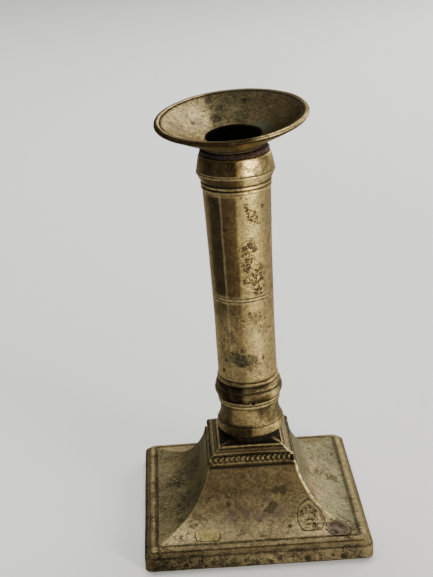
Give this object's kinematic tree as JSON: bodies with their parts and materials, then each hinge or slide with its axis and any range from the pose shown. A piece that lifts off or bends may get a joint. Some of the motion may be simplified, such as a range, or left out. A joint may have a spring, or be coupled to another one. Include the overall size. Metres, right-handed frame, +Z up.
{
  "type": "altar candlestick",
  "caption": "Altar candlestick with a square stepped base that sweeps up to a round column, and a lift-out nozzle with a conical drip pan.",
  "frame": {"origin": "middle of the base's underside, on the ground", "axes": "+Z up, +X to the right and -Y to the front of the square base"},
  "size_m": [0.0868, 0.0868, 0.1675],
  "materials": {
    "aged_brass": "old cast brass, brown patina in the recesses and worn bright on the arrises",
    "pan_brass": "old brass, mottled tan and olive, with dark spots",
    "patch_brass": "paler yellow brass, filed flush",
    "solder": "dull purple-brown solder",
    "packing": "dark red-brown, ragged",
    "iron": "dark, rusted"
  },
  "bodies": {
    "candlestick": {"base_casting": "aged_brass", "left_patch": "patch_brass", "corner_patch": "aged_brass", "corner_solder": "solder", "column_foot": "aged_brass", "foot_pin": "iron", "column_shaft": "aged_brass", "column_collar": "aged_brass", "tie_bolt": "iron", "tie_washer": "iron", "tie_nut": "iron"},
    "packing": {"packing_sleeve": "packing"},
    "nozzle": {"drip_pan": "pan_brass", "candle_socket": "pan_brass", "socket_floor": "pan_brass"}
  },
  "joints": [
    {"name": "nozzle_lift", "type": "slide", "parent": "candlestick", "child": "packing", "axis": [-0.0209, 0, 0.9998], "range_m": [0, 0.023]},
    {"name": "nozzle_turn", "type": "hinge", "parent": "packing", "child": "nozzle", "pos_m": [-0.00122, 0, 0.13838], "axis": [-0.0209, 0, 0.9998], "continuous": true}
  ]
}
